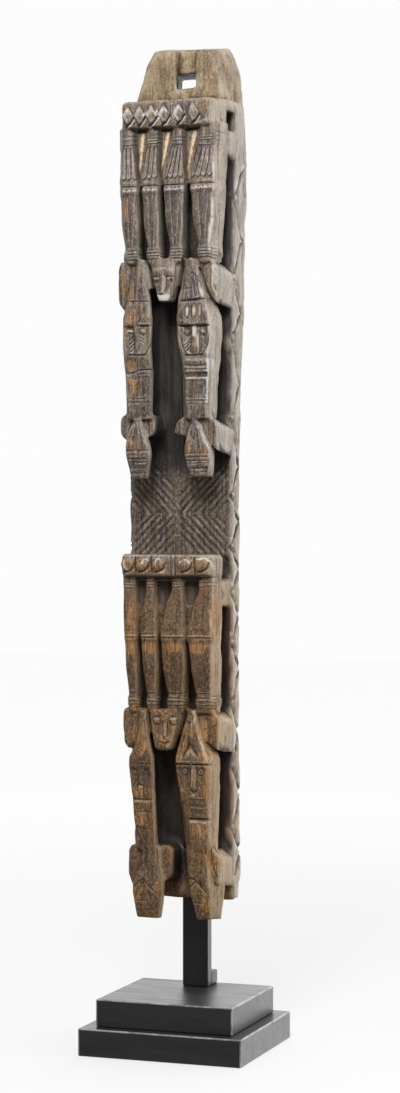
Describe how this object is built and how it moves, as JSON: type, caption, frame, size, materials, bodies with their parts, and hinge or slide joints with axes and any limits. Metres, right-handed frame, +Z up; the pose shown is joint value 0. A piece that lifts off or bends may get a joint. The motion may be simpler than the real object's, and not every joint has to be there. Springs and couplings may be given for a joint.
{
  "type": "carved wooden column on a stand",
  "caption": "Carved wooden column: fluted legs and mask-like heads stand free of a tall board with a pierced tenon, held by a flat bar on a stepped black plinth.",
  "frame": {"origin": "centre of the underside of the lower plinth tier", "axes": "+Z up along the column, -Y out of its carved face, +X to the right of someone facing it"},
  "size_m": [0.25, 0.23, 1.477],
  "materials": {
    "carved_wood": "old weathered hardwood, dark grey-brown patina with worn orange-brown edges",
    "plinth_black": "satin black paint",
    "bar_black": "satin black paint"
  },
  "bodies": {
    "root": {"carved_column": "carved_wood", "plinth_lower_tier": "plinth_black", "plinth_upper_tier": "plinth_black", "support_bar": "bar_black", "bar_foot_block": "bar_black"}
  },
  "joints": []
}
